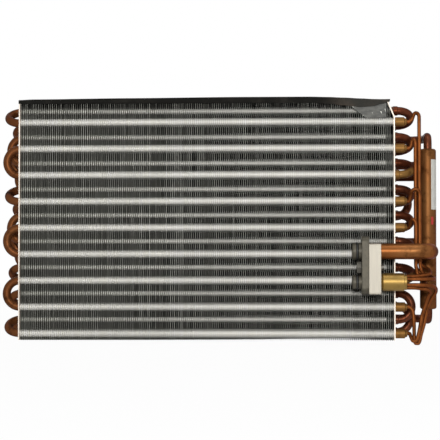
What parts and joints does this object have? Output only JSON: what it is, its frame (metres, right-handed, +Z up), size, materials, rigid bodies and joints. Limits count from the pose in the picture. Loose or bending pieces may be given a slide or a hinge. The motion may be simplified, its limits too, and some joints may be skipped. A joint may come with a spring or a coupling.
{
  "type": "evaporator core",
  "caption": "Vehicle air conditioner evaporator core: a plate fin block on copper hairpin tubes, with feed lines, a suction header and a connection block at one end.",
  "frame": {"origin": "centre of the whole part's bounding box at its lowest level", "axes": "+X along the tubes towards the pipe end, +Y through the core away from the air inlet face, +Z up"},
  "size_m": [0.4194, 0.1176, 0.2376],
  "materials": {
    "fin_aluminium": "satin",
    "end_plate_metal": "satin",
    "seal_foam": "matte",
    "fitting_aluminium": "satin",
    "bolt_steel": "satin",
    "ring_rubber": "matte",
    "brass": "satin",
    "pipe_copper": "satin",
    "tube_copper": "satin"
  },
  "bodies": {
    "root": {"clamp_bolt": "bolt_steel", "clamp_plate": "fitting_aluminium", "connection_block": "fitting_aluminium", "distributor": "brass", "feed_ferrules": "brass", "feed_line_f1": "tube_copper", "feed_line_f2": "tube_copper", "feed_line_f4": "tube_copper", "feed_line_f5": "tube_copper", "feed_line_f8": "tube_copper", "feed_line_f9": "tube_copper", "fin_block": "fin_aluminium", "hairpin_f1_s1": "tube_copper", "hairpin_f2_f3": "tube_copper", "hairpin_f4_s4": "tube_copper", "hairpin_f5_f6": "tube_copper", "hairpin_f8_f7": "tube_copper", "hairpin_f9_s9": "tube_copper", "hairpin_q4_q3": "tube_copper", "hairpin_q7_q6": "tube_copper", "hairpin_s3_s2": "tube_copper", "hairpin_s6_s5": "tube_copper", "hairpin_s7_t7": "tube_copper", "hairpin_s8_t8": "tube_copper", "hairpin_t1_q2": "tube_copper", "hairpin_t2_t3": "tube_copper", "hairpin_t4_q5": "tube_copper", "hairpin_t5_t6": "tube_copper", "hairpin_t9_q9": "tube_copper", "left_end_plate": "end_plate_metal", "liquid_nozzle": "fitting_aluminium", "outlet_q2": "tube_copper", "outlet_q3": "tube_copper", "outlet_q6": "tube_copper", "outlet_q9": "tube_copper", "outlet_t3": "tube_copper", "outlet_t6": "tube_copper", "return_bend_f3_s3": "tube_copper", "return_bend_f6_s6": "tube_copper", "return_bend_f7_s7": "tube_copper", "return_bend_q5_q4": "tube_copper", "return_bend_s1_t1": "tube_copper", "return_bend_s2_t2": "tube_copper", "return_bend_s4_t4": "tube_copper", "return_bend_s5_t5": "tube_copper", "return_bend_s9_s8": "tube_copper", "return_bend_t7_q7": "tube_copper", "return_bend_t8_t9": "tube_copper", "right_end_plate": "end_plate_metal", "sealing_rings": "ring_rubber", "suction_header": "pipe_copper", "suction_nozzle": "fitting_aluminium", "suction_pipe": "pipe_copper", "top_seal": "seal_foam"}
  },
  "joints": []
}
